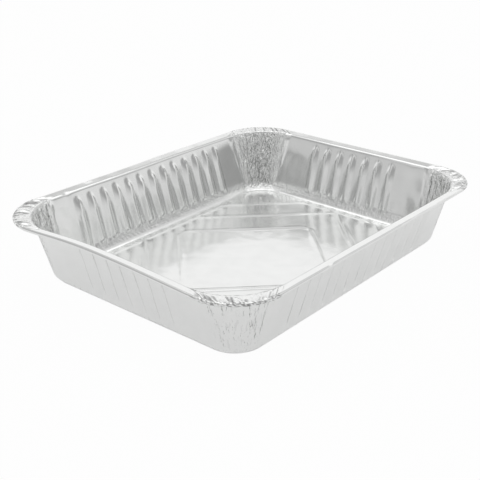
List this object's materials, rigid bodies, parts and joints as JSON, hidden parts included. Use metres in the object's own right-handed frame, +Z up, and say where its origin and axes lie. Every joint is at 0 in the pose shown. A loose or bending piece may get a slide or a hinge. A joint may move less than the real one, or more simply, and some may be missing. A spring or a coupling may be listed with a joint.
{
  "type": "rectangular foil tray",
  "caption": "Rectangular aluminium foil tray with fluted sloping walls, gathered corners, a ribbed floor and a flat flange with a curled edge.",
  "frame": {"origin": "middle of the underside, in the plane that the tray stands on", "axes": "+X along the long side, +Y along the short side, +Z up"},
  "size_m": [0.322, 0.256, 0.0563],
  "materials": {
    "foil": "bright foil, crinkled at the corners"
  },
  "bodies": {
    "root": {"foil_tray": "foil"}
  },
  "joints": []
}
